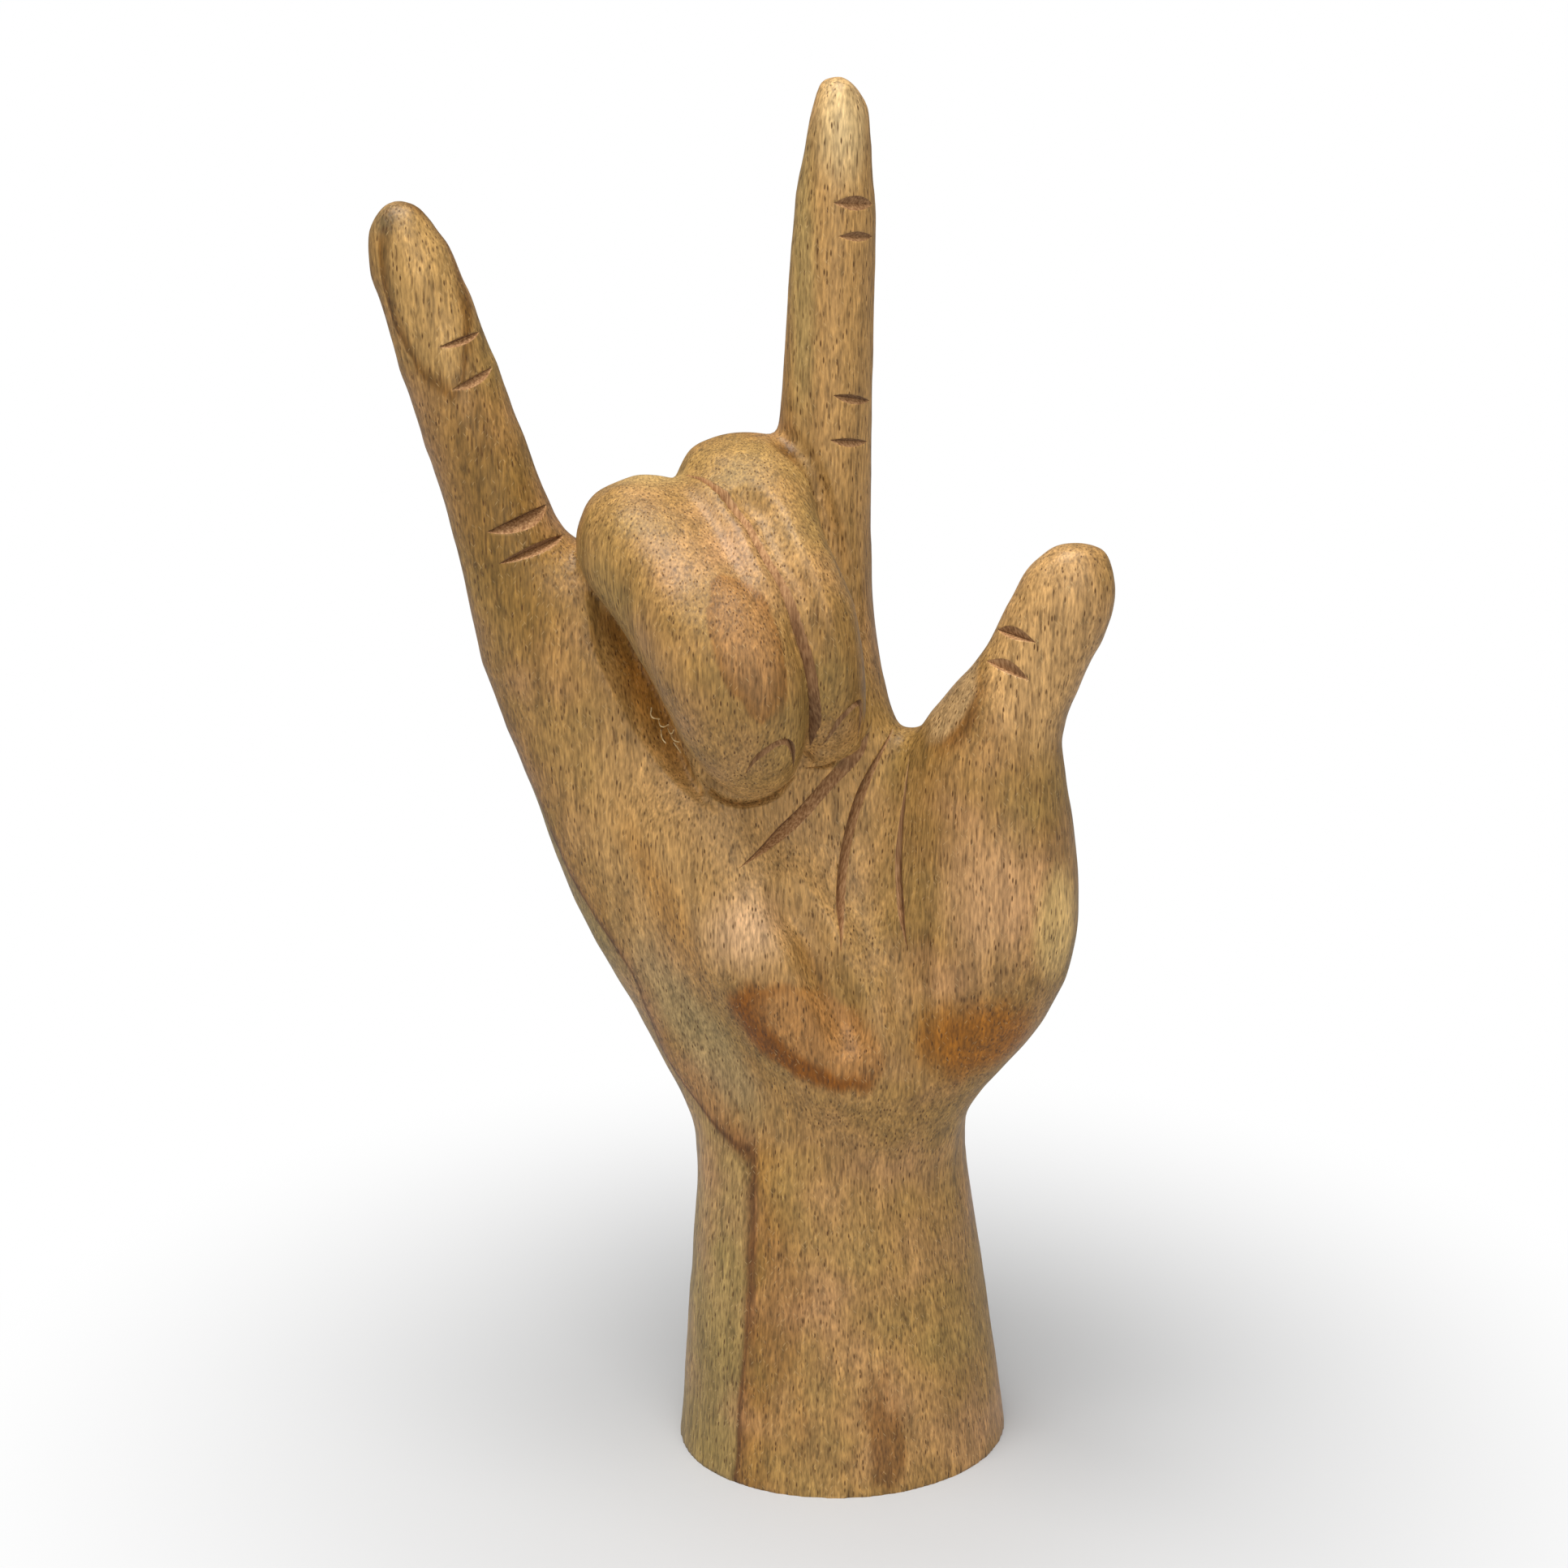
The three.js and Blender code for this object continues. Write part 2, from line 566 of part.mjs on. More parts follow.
const hand = new THREE.Group();
hand.add(mesh("wrist_base", wristBase, 0x98784a));
hand.add(mesh("palm", palm, 0xa37e50));
hand.add(mesh("thumb", thumb, 0xa37d4b));
hand.add(mesh("index_finger", index, 0xae8a5b));
hand.add(mesh("middle_finger", middle, 0xa37c4d));
hand.add(mesh("ring_finger", ring, 0xa4804f));
hand.add(mesh("little_finger", little, 0x926e3f));
export default hand;
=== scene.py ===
# %% [markdown]
# # A carved wooden hand
# The object is a right hand, about life size, carved from one block of pale brown wood. It stands on its
# sawn-off wrist with the palm to the front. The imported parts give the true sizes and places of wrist, palm,
# thumb and fingers, and this lesson turns them into one continuous carving with knife cuts, fingernails and
# wood that runs through every piece.

# %% Load the frame
from math import radians

import bmesh
import bpy
import numpy as np
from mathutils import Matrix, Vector


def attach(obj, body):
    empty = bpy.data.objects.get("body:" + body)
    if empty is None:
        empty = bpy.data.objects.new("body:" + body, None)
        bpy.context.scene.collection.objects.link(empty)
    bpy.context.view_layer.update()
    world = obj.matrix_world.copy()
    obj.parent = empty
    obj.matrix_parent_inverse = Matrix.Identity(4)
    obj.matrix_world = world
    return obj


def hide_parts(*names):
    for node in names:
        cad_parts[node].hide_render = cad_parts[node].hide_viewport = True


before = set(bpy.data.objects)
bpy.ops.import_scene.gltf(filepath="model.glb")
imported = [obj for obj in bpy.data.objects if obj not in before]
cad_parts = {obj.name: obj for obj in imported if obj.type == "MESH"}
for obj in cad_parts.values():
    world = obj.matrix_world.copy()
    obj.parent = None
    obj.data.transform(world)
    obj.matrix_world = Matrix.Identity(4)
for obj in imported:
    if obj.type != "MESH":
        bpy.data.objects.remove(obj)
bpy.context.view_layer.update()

MM = 0.001

# %% [markdown]
# ## The camera
# The picture was taken from a little above, straight at the palm. The camera was found by matching the
# height of the hand and the oval of its foot. It could be aimed by a constraint, but a place, a pitch and a
# lens are all that the match gives, so they are written down as they are.

# %% Camera
CAMERA_PLACE = Vector((-13.5, -592.9, 335.9)) * MM
CAMERA_PITCH = 17
CAMERA_LENS = 66.0

bpy.ops.object.camera_add(location=CAMERA_PLACE, rotation=(radians(90 - CAMERA_PITCH), 0, 0))
camera = bpy.context.object
camera.data.lens = CAMERA_LENS
bpy.context.scene.camera = camera
print("camera looks down by", CAMERA_PITCH, "degrees")

# %% [markdown]
# ## Small helpers
# Operators work on what is selected, so each step first picks its objects. A modifier is added, set and
# applied in one go, because every shape here has to be plain mesh before the next cut.


# %% Helpers
def pick(*objects):
    bpy.ops.object.select_all(action="DESELECT")
    for item in objects:
        item.select_set(True)
    bpy.context.view_layer.objects.active = objects[0]
    return objects[0]


def apply_modifier(item, kind, **settings):
    pick(item)
    modifier = item.modifiers.new(kind.title(), kind)
    for name, value in settings.items():
        setattr(modifier, name, value)
    bpy.ops.object.modifier_apply(modifier=modifier.name)


def edit(item, operator, **settings):
    pick(item)
    bpy.ops.object.mode_set(mode="EDIT")
    bpy.ops.mesh.select_all(action="SELECT")
    operator(**settings)
    bpy.ops.object.mode_set(mode="OBJECT")


def show(name, mesh):
    item = bpy.data.objects.new(name, mesh)
    bpy.context.scene.collection.objects.link(item)
    return item


def discard(*objects):
    for item in objects:
        bpy.data.meshes.remove(item.data)


print("helpers ready")

# %% [markdown]
# ## Copies of the parts
# A part's mesh is loose triangles, so each copy is merged first. The triangles are joined to quads and
# subdivided, which rounds the facets off. The edges of the saw cuts are creased before, so that they stay
# where they are. The hand could be modelled anew, but the copies have the right sizes already. They are the
# carver's blank, and the parts themselves are only hidden at the end.


# %% Copies
wood = bpy.data.materials.new("waxed_carved_wood")
raw_cut = bpy.data.materials.new("raw_knife_cut_wood")
SAW_EDGE = radians(55)
MERGE = 0.01 * MM


def crease_saw_edges(item):
    shape = bmesh.new()
    shape.from_mesh(item.data)
    crease = shape.edges.layers.float.new("crease_edge")
    for edge in shape.edges:
        if edge.calc_face_angle(0) > SAW_EDGE:
            edge[crease] = 1.0
    shape.to_mesh(item.data)
    shape.free()


def copy_part(node, grow=0.0):
    copy = show(f"{node}_copy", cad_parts[node].data.copy())
    copy.data.materials.clear()
    copy.data.materials.append(wood)
    copy.data.materials.append(raw_cut)
    edit(copy, bpy.ops.mesh.remove_doubles, threshold=MERGE)
    if grow:
        apply_modifier(copy, "DISPLACE", strength=grow, mid_level=0.0)
    return copy


nodes = ["wrist_base", "palm", "thumb", "index_finger", "middle_finger", "ring_finger", "little_finger"]
blank = {node: copy_part(node) for node in nodes}
for copy in blank.values():
    edit(copy, bpy.ops.mesh.tris_convert_to_quads)
    crease_saw_edges(copy)
    apply_modifier(copy, "SUBSURF", levels=2, render_levels=2)
print("copied", len(blank), "parts with", sum(len(c.data.polygons) for c in blank.values()), "faces")

# %% [markdown]
# ## Knife tools
# All carved lines are V-shaped cuts, so one closed wedge is the tool for all of them. A cut across a round
# finger is one straight stroke: its keel runs straight from end to end below the skin, so that the cut
# comes out as a lens. A line on the palm follows the skin at a given depth instead. Lines could be
# sculpted, or drawn in the material, but a Boolean with a wedge leaves the sharp edges of a knife. The
# wedge brings its own material into the cut, because a fresh cut shows raw wood.


# %% Knife tools
def on_skin(item, point):
    found, place, normal, face = item.closest_point_on_mesh(Vector(point) * MM)
    return place, normal


def wedge(stations, raw):
    points = [corner for station in stations for corner in station]
    last = len(points) - 3
    faces = [(2, 1, 0), (last, last + 1, last + 2)]
    for first in range(0, last, 3):
        for a, b in ((0, 1), (1, 2), (2, 0)):
            faces.append((first + a, first + b, first + b + 3, first + a + 3))
    mesh = bpy.data.meshes.new("wedge")
    mesh.from_pydata(points, [], faces)
    tool = show("wedge", mesh)
    mesh.materials.append(wood)
    mesh.materials.append(raw_cut)
    for face in mesh.polygons:
        face.material_index = int(raw)
    edit(tool, bpy.ops.mesh.normals_make_consistent, inside=False)
    return tool


def chop(item, start, end, rise, fall, sink=(0.0, 0.0)):
    REACH = 5 * MM
    OVERRUN = 1 * MM
    (a, a_out), (b, b_out) = on_skin(item, start), on_skin(item, end)
    ahead = (b - a).normalized()
    out = a_out + b_out
    out = (out - ahead * out.dot(ahead)).normalized()
    up = ahead.cross(out)
    up = up if up.z > 0 else -up
    stations = []
    for place in (a - ahead * OVERRUN - out * sink[0] * MM, b + ahead * OVERRUN - out * sink[1] * MM):
        stations.append((place, place + (out + up * rise) * REACH, place + (out - up * fall) * REACH))
    return wedge(stations, raw=True)


def score(item, path, width, depth, lean, head=0.15, tail=0.4, raw=True):
    STEPS = 30
    EVENING_ROUNDS = 6
    RIM = 2.0
    POINT = 0.03
    knots = np.array([np.concatenate(on_skin(item, point)) for point in path])
    reach = np.concatenate([[0], np.cumsum(np.linalg.norm(np.diff(knots[:, :3], axis=0), axis=1))])
    at = np.linspace(0, reach[-1], STEPS)
    line = np.stack([np.interp(at, reach, knots[:, axis]) for axis in range(6)], axis=1)
    for _ in range(EVENING_ROUNDS):
        line[1:-1] = (line[:-2] + 2 * line[1:-1] + line[2:]) / 4
    stations = []
    for i in range(STEPS):
        share = i / (STEPS - 1)
        size = max(min(share / head, (1 - share) / tail, 1), POINT) * MM
        place = on_skin(item, line[i, :3] / MM)[0]
        out = Vector(line[i, 3:]).normalized()
        ahead = Vector(line[min(i + 1, STEPS - 1), :3] - line[max(i - 1, 0), :3])
        side = ahead.cross(out).normalized()
        keel = place - out * depth * size + side * lean * width / 2 * size
        rims = [place + side * width / 2 * size, place - side * width / 2 * size]
        stations.append([keel] + [keel + (rim - keel) * RIM for rim in rims])
    return wedge(stations, raw)


def cut(item, tool, operation="DIFFERENCE"):
    apply_modifier(item, "BOOLEAN", object=tool, operation=operation, solver="MANIFOLD")


def carve(item, *tools):
    tool = pick(*tools)
    bpy.ops.object.join()
    cut(item, tool)
    discard(tool)


print("knife tools ready")

# %% [markdown]
# ## The groove beside the ring finger
# Between the little finger's root and the folded ring finger the carver cut in deep and rough. It could be
# cut last, like the other lines. It is cut before the skin is made, so that smoothing wears its edges, and
# it leans under the ring finger.

# %% Groove
GROOVE = [(-53.5, -10, 203), (-51, -13, 195), (-48.5, -14, 187), (-45.5, -14.8, 180), (-42, -14.8, 173)]
GROOVE += [(-38.5, -15, 166), (-34.5, -17, 161), (-30, -20, 156.5), (-24, -20, 154)]
palm = blank["palm"]
carve(palm, score(palm, GROOVE, width=8, depth=8, lean=-0.9, head=0.2, tail=0.45, raw=False))
print("palm with its groove:", len(palm.data.polygons), "faces")

# %% [markdown]
# ## One skin
# The real hand is one block. A Boolean union of the copies would keep a hard line at every seam, so they
# are grown until they touch across the saw gaps, joined and remeshed into a single skin. The skin is
# smoothed until no flat facet of the parts is left, and drawn back by what it was grown.

# %% Skin
CLOSING = 0.2 * MM
VOXEL = 0.7 * MM
SMOOTHING = 16

for copy in blank.values():
    apply_modifier(copy, "DISPLACE", strength=CLOSING, mid_level=0.0)
skin = pick(blank["palm"], *[blank[node] for node in nodes if node != "palm"])
bpy.ops.object.join()
skin.name = "skin"
skin.data.remesh_voxel_size = VOXEL
bpy.ops.object.voxel_remesh()
apply_modifier(skin, "SMOOTH", factor=0.5, iterations=SMOOTHING)
apply_modifier(skin, "DISPLACE", strength=-CLOSING, mid_level=0.0)
print("skin:", len(skin.data.polygons), "faces")

# %% [markdown]
# ## Soft forms
# A carver leaves shallow gouge valleys between the pads of the palm, and no surface quite even. Brushes in
# sculpt mode would do this by hand; in code, each valley is pressed into the skin along a path in
# millimetres, deepest on the path and fading out at its half width and at its ends. The ring finger's side
# and the middle finger's tip are raised in the same way, after the parts' own valley between them is
# smoothed away, because the real one lies nearer to the middle finger. The sides of the index finger's tip
# are smoothed too, because they taper evenly. A slow cloud pattern then takes off a few tenths of a
# millimetre everywhere, and the foot is planed flat.


# %% Soft forms
def read(kind):
    values = np.empty(3 * len(skin.data.vertices), np.float32)
    skin.data.vertices.foreach_get(kind, values)
    return values.reshape(-1, 3)


def fade_from(path, half_width):
    places = read("co") / MM
    nearest = np.full(len(places), np.inf)
    along = np.zeros(len(places))
    points = np.array(path, float)
    for i, (start, end) in enumerate(zip(points, points[1:])):
        step = end - start
        share = np.clip((places - start) @ step / (step @ step), 0, 1)
        away = np.linalg.norm(places - start - share[:, None] * step, axis=1)
        along = np.where(away < nearest, (i + share) / (len(points) - 1), along)
        nearest = np.minimum(nearest, away)
    return np.clip(1 - (nearest / half_width) ** 2, 0, 1) ** 2 * np.clip(6 * along * (1 - along), 0, 1)


def press(path, half_width, depth):
    places = read("co") - read("normal") * (fade_from(path, half_width) * depth * MM)[:, None]
    skin.data.vertices.foreach_set("co", places.ravel())
    skin.data.update()


def melt(path, half_width, rounds):
    group = skin.vertex_groups.new(name="melt")
    for index, weight in enumerate(fade_from(path, half_width)):
        if weight > 0:
            group.add([index], min(1.0, 2 * weight), "REPLACE")
    apply_modifier(skin, "SMOOTH", factor=0.5, iterations=rounds, vertex_group="melt")
    skin.vertex_groups.clear()


HEEL_VALLEY = [(-15, -26, 141), (-12, -25, 135), (-9, -24, 128), (-6, -25, 120), (-2.5, -25, 113)]
HEEL_VALLEY += [(0.5, -25, 107), (3, -26, 102)]
HEEL_RIDGE = [(-2.5, -20.5, 135), (-0.8, -21.4, 128), (4.3, -24.9, 115), (7.8, -26.6, 104), (9, -26.6, 98)]
BALL_VALLEY = [(13, -22, 131), (13, -23.5, 121), (13.5, -24.5, 112), (14, -25, 102), (14, -25, 92)]
press(HEEL_VALLEY, half_width=7, depth=4.2)
press(HEEL_RIDGE, half_width=6, depth=-0.9)
press(BALL_VALLEY, half_width=7, depth=1.8)

OLD_VALLEY = [(-36, -10, 224), (-32, -16, 222), (-27.5, -22, 218.5), (-23, -28, 212), (-19, -31.5, 207.5)]
OLD_VALLEY += [(-15.5, -34, 203), (-12, -35, 198)]
RING_SIDE = [(-32.7, -14.3, 223.2), (-30.3, -16.5, 222.8), (-27, -20, 221.1), (-23.6, -24, 217.6)]
RING_SIDE += [(-20.7, -28.8, 212), (-18.4, -31.5, 208.5), (-16.4, -33.3, 205.2), (-14.3, -34.2, 201.7)]
MIDDLE_SIDE = [(-24, -20, 223), (-22, -22, 221.2), (-18, -24.8, 218.7), (-14.2, -30.1, 211.3)]
MIDDLE_SIDE += [(-11, -31.8, 205.7), (-8.8, -33.6, 197.7), (-7.6, -33.5, 192.3), (-7.5, -32, 184)]
MIDDLE_TIP = [(-9, -21, 167), (-6, -20, 167), (0, -18, 168), (3, -17, 169)]
INDEX_VALLEY = [(-16, -3, 231.5), (-12, -8.5, 229), (-9.4, -9, 225.5), (-6.8, -9, 220), (-3, -9, 210)]
INDEX_VALLEY += [(0.5, -9, 198), (4, -9.5, 184)]
melt(OLD_VALLEY, half_width=8, rounds=250)
press(RING_SIDE, half_width=5, depth=-1.2)
press(MIDDLE_SIDE, half_width=5.5, depth=2.0)
press(MIDDLE_TIP, half_width=6, depth=-2.5)
press(INDEX_VALLEY, half_width=4, depth=1.8)

INDEX_LEFT = [(-10, 0, 268), (-9.5, 0, 278), (-8.5, 0, 286), (-7, 0, 293), (-4, 0, 301)]
INDEX_RIGHT = [(5, 0, 280), (4.8, 0, 288), (4, 0, 295), (2, 0, 300), (-2, 0, 303)]
melt(INDEX_LEFT, half_width=7, rounds=80)
melt(INDEX_RIGHT, half_width=6, rounds=60)

uneven = bpy.data.textures.new("uneven_carving", "CLOUDS")
UNEVEN_SPREAD = 14 * MM
UNEVEN_DEPTH = 0.4 * MM
uneven.noise_scale = UNEVEN_SPREAD
apply_modifier(skin, "DISPLACE", texture=uneven, strength=UNEVEN_DEPTH, mid_level=1.0)

FOOT_PLANING = 0.6 * MM
places = read("co")
places[places[:, 2] < FOOT_PLANING, 2] = 0
skin.data.vertices.foreach_set("co", places.ravel())
skin.data.update()
print("soft forms pressed, foot planed")

# %% [markdown]
# ## Creases of the folded fingers
# A knife crease parts the ring finger from the middle finger and both from the palm. A pressed valley would
# stay too soft here, so it is cut with the wedge: it follows the valley between them, leans in under the
# finger in front, and runs out at the knuckles, where the wood is whole.

# %% Creases
RING_CREASE = [(-33.5, -12, 224), (-30, -15.8, 224), (-25.5, -20.6, 221.4), (-21.2, -24.1, 218.6)]
RING_CREASE += [(-17.1, -30, 211.3), (-13.8, -32.2, 205.8), (-11.1, -33.9, 197.7), (-8.6, -33.6, 191.5)]
RING_CREASE += [(-8.3, -33, 187.9), (-8.1, -31.4, 182.4), (-8.1, -28.9, 176.6), (-8.2, -25.1, 171.2)]
RING_FOOT = [(-35, -17, 165), (-31, -19.3, 160), (-26, -20.2, 157.3), (-20.6, -19.2, 156), (-15, -17.4, 157)]
RING_FOOT += [(-10.5, -17.1, 162)]
MIDDLE_FOOT = [(-9.4, -17.2, 163.3), (-4.5, -15.4, 162.8), (-0.9, -14.6, 164.3), (2.7, -13.6, 167.2)]
MIDDLE_FOOT += [(5.2, -12.2, 172.1)]
carve(
    skin,
    score(skin, RING_CREASE, width=2.3, depth=3.8, lean=0.7, head=0.2, tail=0.1),
    score(skin, RING_FOOT, width=2.2, depth=1.8, lean=0.5, head=0.3, tail=0.2, raw=False),
    score(skin, MIDDLE_FOOT, width=1.5, depth=1.2, lean=0.5, head=0.3, tail=0.4, raw=False),
)
print("skin after creasing:", len(skin.data.polygons), "faces")

# %% [markdown]
# ## Cuts at the finger joints
# Two short straight strokes mark each joint, as lenses on the round of the finger. They are taken out of
# the finished skin, because smoothing would dull them, and each is given by its two ends in millimetres.

# %% Cuts on the fingers
carve(
    skin,
    chop(skin, (-3.5, -9.1, 278.9), (4.7, -2.5, 278.1), rise=1.0, fall=0.95),
    chop(skin, (-2.4, -9.2, 272.3), (4.8, -2.7, 271.6), rise=0.9, fall=0.8),
    chop(skin, (-3.4, -9.0, 240.1), (4.6, -1.5, 237.9), rise=0.65, fall=0.8),
    chop(skin, (-4.0, -8.9, 230.9), (4.2, -2.1, 229.5), rise=0.55, fall=0.85),
    chop(skin, (-83.4, -10.8, 250.3), (-75.4, -5.0, 252.7), rise=0.3, fall=1.0),
    chop(skin, (-80.9, -11.0, 241.7), (-73.2, -5.7, 245.4), rise=0.3, fall=1.2, sink=(0, 0.4)),
    chop(skin, (-75.0, -9.8, 211.9), (-63.3, -2.3, 216.2), rise=0.25, fall=0.9, sink=(0, 0.3)),
    chop(skin, (-72.7, -9.5, 205.2), (-61.5, -1.5, 208.4), rise=0.2, fall=0.65),
    chop(skin, (29.9, -20.1, 194.0), (37.4, -27.9, 192.9), rise=1.15, fall=0.3),
    chop(skin, (27.7, -21.9, 187.9), (36.3, -28.0, 185.1), rise=1.3, fall=0.3),
)
print("skin after finger cuts:", len(skin.data.polygons), "faces")

# %% [markdown]
# ## Lines of the palm
# Three lines fan out from the foot of the middle finger. Each follows the skin, has a steep side and a flat
# side, as a leaned knife gives it, and runs out in a point. The straight stroke of the finger cuts would
# miss the hollow of the palm, so these use the wedge that follows the skin.

# %% Lines of the palm
HEAD_LINE = [(4.6, -13, 170), (2.5, -13.8, 166), (-3.5, -14.9, 160), (-9.4, -16, 153), (-15.9, -19.8, 148)]
HEAD_LINE += [(-22.8, -24.3, 143.7)]
FATE_LINE = [(9.6, -9.8, 170), (5.6, -13.1, 163.3), (2.1, -14.2, 155.4), (-0.3, -15.6, 146.5)]
FATE_LINE += [(-1.3, -17.3, 139.3), (-1.5, -23.3, 124.9)]
LIFE_LINE = [(12.7, -14.9, 165.6), (11.8, -16.5, 159.3), (10.7, -17.8, 149), (10.4, -19.2, 140)]
LIFE_LINE += [(12, -23.6, 125)]
carve(
    skin,
    score(skin, HEAD_LINE, width=2.8, depth=2.0, lean=0.4, tail=0.3),
    score(skin, FATE_LINE, width=2.0, depth=2.2, lean=0.5, head=0.3, tail=0.2),
    score(skin, LIFE_LINE, width=1.7, depth=2.0, lean=0.5, head=0.5, tail=0.2),
)
print("skin with its palm lines:", len(skin.data.polygons), "faces")

# %% [markdown]
# ## Fingernails
# A nail is one curved stroke round its root; a separate plate would be more than the carver made. The
# picture shows those of the folded fingers. The other three are a guess, on the far side, where such a hand
# has them.

# %% Fingernails
RING_NAIL = [(-21.4, -38.7, 168), (-19.4, -40.7, 172), (-15.6, -41.2, 175), (-13.3, -40.3, 176)]
RING_NAIL += [(-11.7, -39, 175), (-11.2, -37.3, 172), (-11.2, -34.4, 168)]
MIDDLE_NAIL = [(-5.8, -26.5, 170), (-4.7, -27.5, 172), (-2, -29.9, 177.4), (1.3, -28.7, 180.5)]
MIDDLE_NAIL += [(3.2, -26, 180.4), (2.6, -25.7, 177), (2.1, -22.6, 170.8)]
INDEX_NAIL = [(-6.2, 5.5, 294), (-6, 6.2, 289.5), (-5, 7, 286), (-3.2, 7.7, 284), (-1.6, 7.6, 284)]
INDEX_NAIL += [(0, 7, 285.5), (1.4, 6.2, 289), (1.8, 5.2, 294)]
LITTLE_NAIL = [(-97.5, -2, 271), (-96.5, 1.5, 265.5), (-93.5, 3.5, 261), (-90, 5.1, 259.5)]
LITTLE_NAIL += [(-87, 5.2, 261), (-84.5, 4, 265), (-84, 1, 270.5)]
THUMB_NAIL = [(41, -13.5, 206.5), (39.8, -11.5, 201), (41, -10.4, 196), (44.5, -10.5, 193.5)]
THUMB_NAIL += [(48, -11.9, 194.5), (51, -14, 199), (52.8, -16.5, 205.5)]
nails = (RING_NAIL, MIDDLE_NAIL, INDEX_NAIL, LITTLE_NAIL, THUMB_NAIL)
carve(skin, *[score(skin, nail, width=1.4, depth=1.2, lean=-0.6, head=0.3, tail=0.3) for nail in nails])
print("skin with", len(nails), "nails:", len(skin.data.polygons), "faces")

# %% [markdown]
# ## Sawing the skin into pieces
# The skin could stay one object, but every part needs its own piece. Each takes its share of the skin: the
# space of its solid, grown a little so that all of its surface is inside. What is left at the end is the
# palm. The real carving has no seams, so the pieces take their normals from the whole skin, and the light
# runs on across the saw cuts.

# %% Pieces
SHARE_GROWTH = {"ring_finger": 0.6 * MM, "middle_finger": 0.6 * MM}
FINGER_GROWTH = 1.2 * MM
SHARP_CUT = radians(35)

pick(skin)
bpy.ops.object.shade_smooth_by_angle(angle=SHARP_CUT)
whole = show("whole_skin", skin.data.copy())
pieces = {}
for node in ("ring_finger", "middle_finger", "thumb", "index_finger", "little_finger", "wrist_base"):
    share = copy_part(node, grow=SHARE_GROWTH.get(node, FINGER_GROWTH))
    pieces[node] = show(f"carved_{node}", skin.data.copy())
    cut(pieces[node], share, "INTERSECT")
    cut(skin, share)
    discard(share)
pieces["palm"] = skin
skin.name = "carved_palm"
from_whole = {"object": whole, "use_loop_data": True, "data_types_loops": {"CUSTOM_NORMAL"}}
for piece in pieces.values():
    apply_modifier(piece, "DATA_TRANSFER", loop_mapping="NEAREST_POLYNOR", **from_whole)
    piece.data.calc_loop_triangles()
    print(piece.name, len(piece.data.loop_triangles), "triangles")
discard(whole)

# %% [markdown]
# ## Wood
# The wood looks like a pale brown hardwood, sanded and waxed, which gives a satin surface with open pores.
# A picture of wood wrapped on each piece would break at the seams. It is one field in space, read in
# millimetres from the object's own coordinates, so it runs through all pieces without a break. One small
# function adds a node with its settings and links.


# %% Colours and nodes
def linear(code):
    channels = [int(code[i : i + 2], 16) / 255 for i in (1, 3, 5)]
    return [c / 12.92 if c <= 0.04045 else ((c + 0.055) / 1.055) ** 2.4 for c in channels] + [1.0]


def add(tree, kind, inputs, stops=(), **settings):
    node = tree.nodes.new(f"ShaderNode{kind}")
    for name, value in settings.items():
        setattr(node, name, value)
    for name, value in inputs.items():
        if isinstance(value, bpy.types.NodeSocket):
            tree.links.new(value, node.inputs[name])
        else:
            node.inputs[name].default_value = value
    if stops:
        elements = node.color_ramp.elements
        elements.remove(elements[1])
        for place, code in stops[1:]:
            elements.new(place).color = linear(code)
        elements[0].position = stops[0][0]
        elements[0].color = linear(stops[0][1])
    return node.outputs


wood.use_nodes = True
tree = wood.node_tree
shader = tree.nodes["Principled BSDF"]
metres = add(tree, "TexCoord", {})["Object"]
mm = add(tree, "VectorMath", {0: metres, 1: (1000, 1000, 1000)}, operation="MULTIPLY")[0]
print("wood material started")

# %% [markdown]
# ## The tree's layers
# The layers lie nearly parallel to the palm and turn back on the thumb's side. A colour is given to each
# depth in them: olive at the back, one thin brown growth line, and warm tan in front of it. The layers wave
# slowly, and dip where the heel of the hand meets the wrist. Slow pink and olive blotches lie over them.

# %% Layers
LAYER_LEAN = (-0.14, -1.0, 0.11)
THUMB_SIDE_LEAN = (0.9, -1.0, 0.11)
THUMB_SIDE_START = 20.8
LAYER_WAVE = 5.0
DIP_PLACE = (-38, -9, 92)
DIP_RADII = (24, 24, 24)
DIP = 8.0
DEEPEST = 80.0
GROWTH_LINE = 0.402

depth = add(tree, "VectorMath", {0: mm, 1: LAYER_LEAN}, operation="DOT_PRODUCT")["Value"]
turned = add(tree, "VectorMath", {0: mm, 1: THUMB_SIDE_LEAN}, operation="DOT_PRODUCT")["Value"]
turned = add(tree, "Math", {0: turned, 1: THUMB_SIDE_START}, operation="ADD")[0]
depth = add(tree, "Math", {0: depth, 1: turned}, operation="MAXIMUM")[0]
slow = add(tree, "TexNoise", {"Vector": mm, "Scale": 1 / 45, "Detail": 1.0})["Fac"]
depth = add(tree, "Math", {0: slow, 1: LAYER_WAVE, 2: depth}, operation="MULTIPLY_ADD")[0]
dip_placing = {"Vector": mm, "Location": DIP_PLACE, "Scale": DIP_RADII}
dip = add(tree, "Mapping", dip_placing, vector_type="TEXTURE")[0]
dip = add(tree, "VectorMath", {0: dip}, operation="LENGTH")["Value"]
dipping = {"Value": dip, "From Min": 1.2, "From Max": 0.0, "To Max": DIP}
dip = add(tree, "MapRange", dipping, interpolation_type="SMOOTHSTEP")[0]
depth = add(tree, "Math", {0: depth, 1: dip}, operation="ADD")[0]
share = add(tree, "Math", {0: depth, 1: DEEPEST}, operation="DIVIDE")[0]
growth = [(0.0, "#8a703e"), (0.37, "#947a48"), (0.397, "#8f7444"), (0.400, "#62401e"), (0.405, "#785026")]
